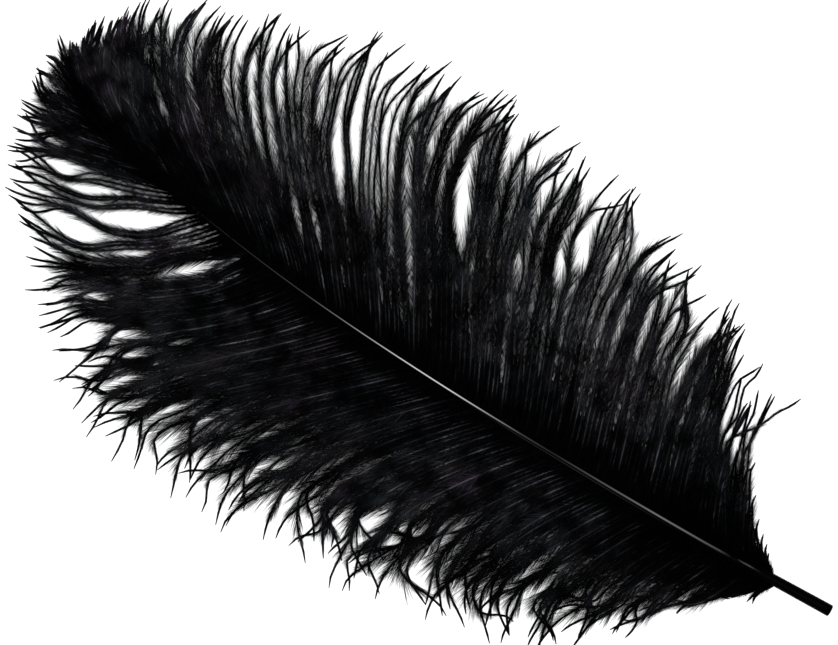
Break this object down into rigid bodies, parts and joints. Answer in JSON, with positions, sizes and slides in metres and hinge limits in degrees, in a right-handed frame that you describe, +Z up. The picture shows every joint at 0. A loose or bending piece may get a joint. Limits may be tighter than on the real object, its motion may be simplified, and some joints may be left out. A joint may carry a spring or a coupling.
{
  "type": "ostrich feather",
  "caption": "Curved plume with a tapering hollow-ended shaft and two broad drooping vanes of soft barbs gathered in pointed locks, lying on its underside.",
  "frame": {"origin": "on the ground under the middle of the feather's bounding box", "axes": "+X from the cut end of the quill to the tip, +Y towards the left vane, +Z up, out of the rounded back of the shaft"},
  "size_m": [0.3024, 0.1648, 0.0206],
  "materials": {
    "horn": "smooth dyed black horn with a soft sheen",
    "barbs": "soft dyed black down, faintly blue in the light"
  },
  "bodies": {
    "root": {"shaft": "horn", "left_vane": "barbs", "right_vane": "barbs"}
  },
  "joints": []
}
